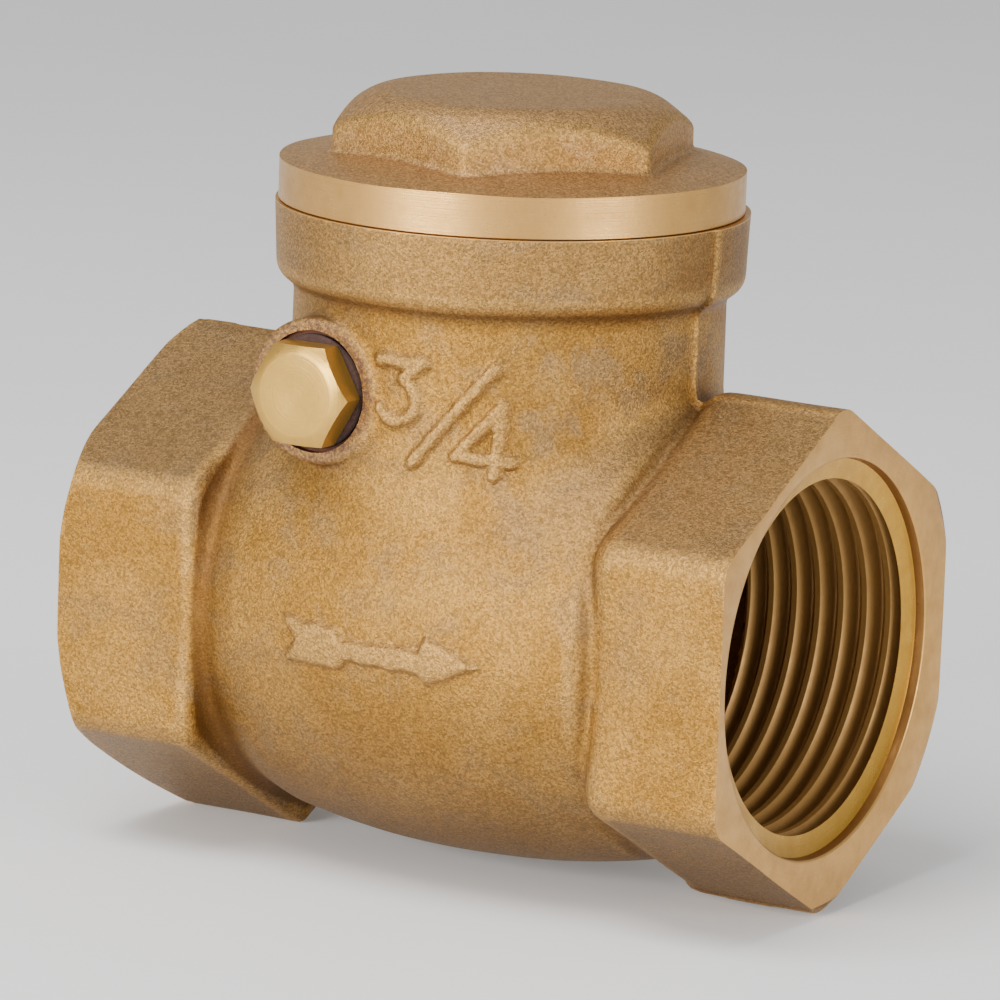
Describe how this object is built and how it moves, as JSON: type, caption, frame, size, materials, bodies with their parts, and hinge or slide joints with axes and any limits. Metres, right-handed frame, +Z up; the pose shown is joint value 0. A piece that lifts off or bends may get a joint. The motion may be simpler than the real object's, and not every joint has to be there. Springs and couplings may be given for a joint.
{
  "type": "swing check valve",
  "caption": "Threaded swing check valve: cast body with hexagon socket ends, screwed hexagon bonnet, side-plugged hinge pin and a swinging soft-sealed disc.",
  "frame": {"origin": "where the flow axis through the two sockets crosses the upright axis of the bonnet", "axes": "+X along the flow, out of the outlet; +Z up through the bonnet cap; the plug of the hinge pin and the flow arrow are on the -Y side"},
  "size_m": [0.0516, 0.0339, 0.0531],
  "materials": {
    "cast_brass": "shot-blasted casting, matt and grainy",
    "cap_brass": "shot-blasted casting with a turned rim",
    "turned_brass": "turned, satin bright",
    "stainless": "turned, bright",
    "nitrile": "moulded, matt",
    "gasket": "flat sealing ring, matt",
    "washer_fibre": "vulcanised fibre, matt"
  },
  "bodies": {
    "body": {"valve_body": "cast_brass"},
    "gasket": {"bonnet_gasket": "gasket"},
    "cap": {"bonnet_cap": "cap_brass"},
    "washer": {"plug_washer": "washer_fibre"},
    "plug": {"hinge_plug": "turned_brass"},
    "pin": {"hinge_pin": "stainless"},
    "arm": {"swing_arm": "turned_brass"},
    "clapper": {"clapper_disc": "turned_brass", "disc_seal": "nitrile", "seal_retainer": "turned_brass", "disc_bolt": "stainless", "disc_washer": "stainless", "lock_washer": "stainless", "disc_nut": "turned_brass"}
  },
  "joints": [
    {"name": "clapper_swing", "type": "hinge", "parent": "body", "child": "arm", "pos_m": [-0.0061, 0, 0.01595], "axis": [0, -1, 0], "range_deg": [0, 54]},
    {"name": "clapper_spin", "type": "hinge", "parent": "arm", "child": "clapper", "pos_m": [-0.0061, 0, 0], "axis": [1, 0, 0], "continuous": true},
    {"name": "pin_turn", "type": "hinge", "parent": "body", "child": "pin", "pos_m": [-0.0061, 0, 0.01595], "axis": [0, 1, 0], "continuous": true},
    {"name": "gasket_lift", "type": "slide", "parent": "body", "child": "gasket", "axis": [0, 0, 1], "range_m": [0, 0.006]},
    {"name": "cap_unscrew", "type": "hinge", "parent": "gasket", "child": "cap", "pos_m": [0, 0, 0.0279], "axis": [0, 0, 1], "range_deg": [0, 1440]},
    {"name": "washer_slide", "type": "slide", "parent": "body", "child": "washer", "axis": [0, -1, 0], "range_m": [0, 0.003]},
    {"name": "plug_unscrew", "type": "hinge", "parent": "washer", "child": "plug", "pos_m": [-0.0061, -0.0145, 0.01595], "axis": [0, -1, 0], "range_deg": [0, 1080]}
  ],
  "couplings": [
    {"joint": "cap_unscrew", "follows": "gasket_lift", "rad_per_m": 4188.8},
    {"joint": "plug_unscrew", "follows": "washer_slide", "rad_per_m": 6283.2}
  ]
}
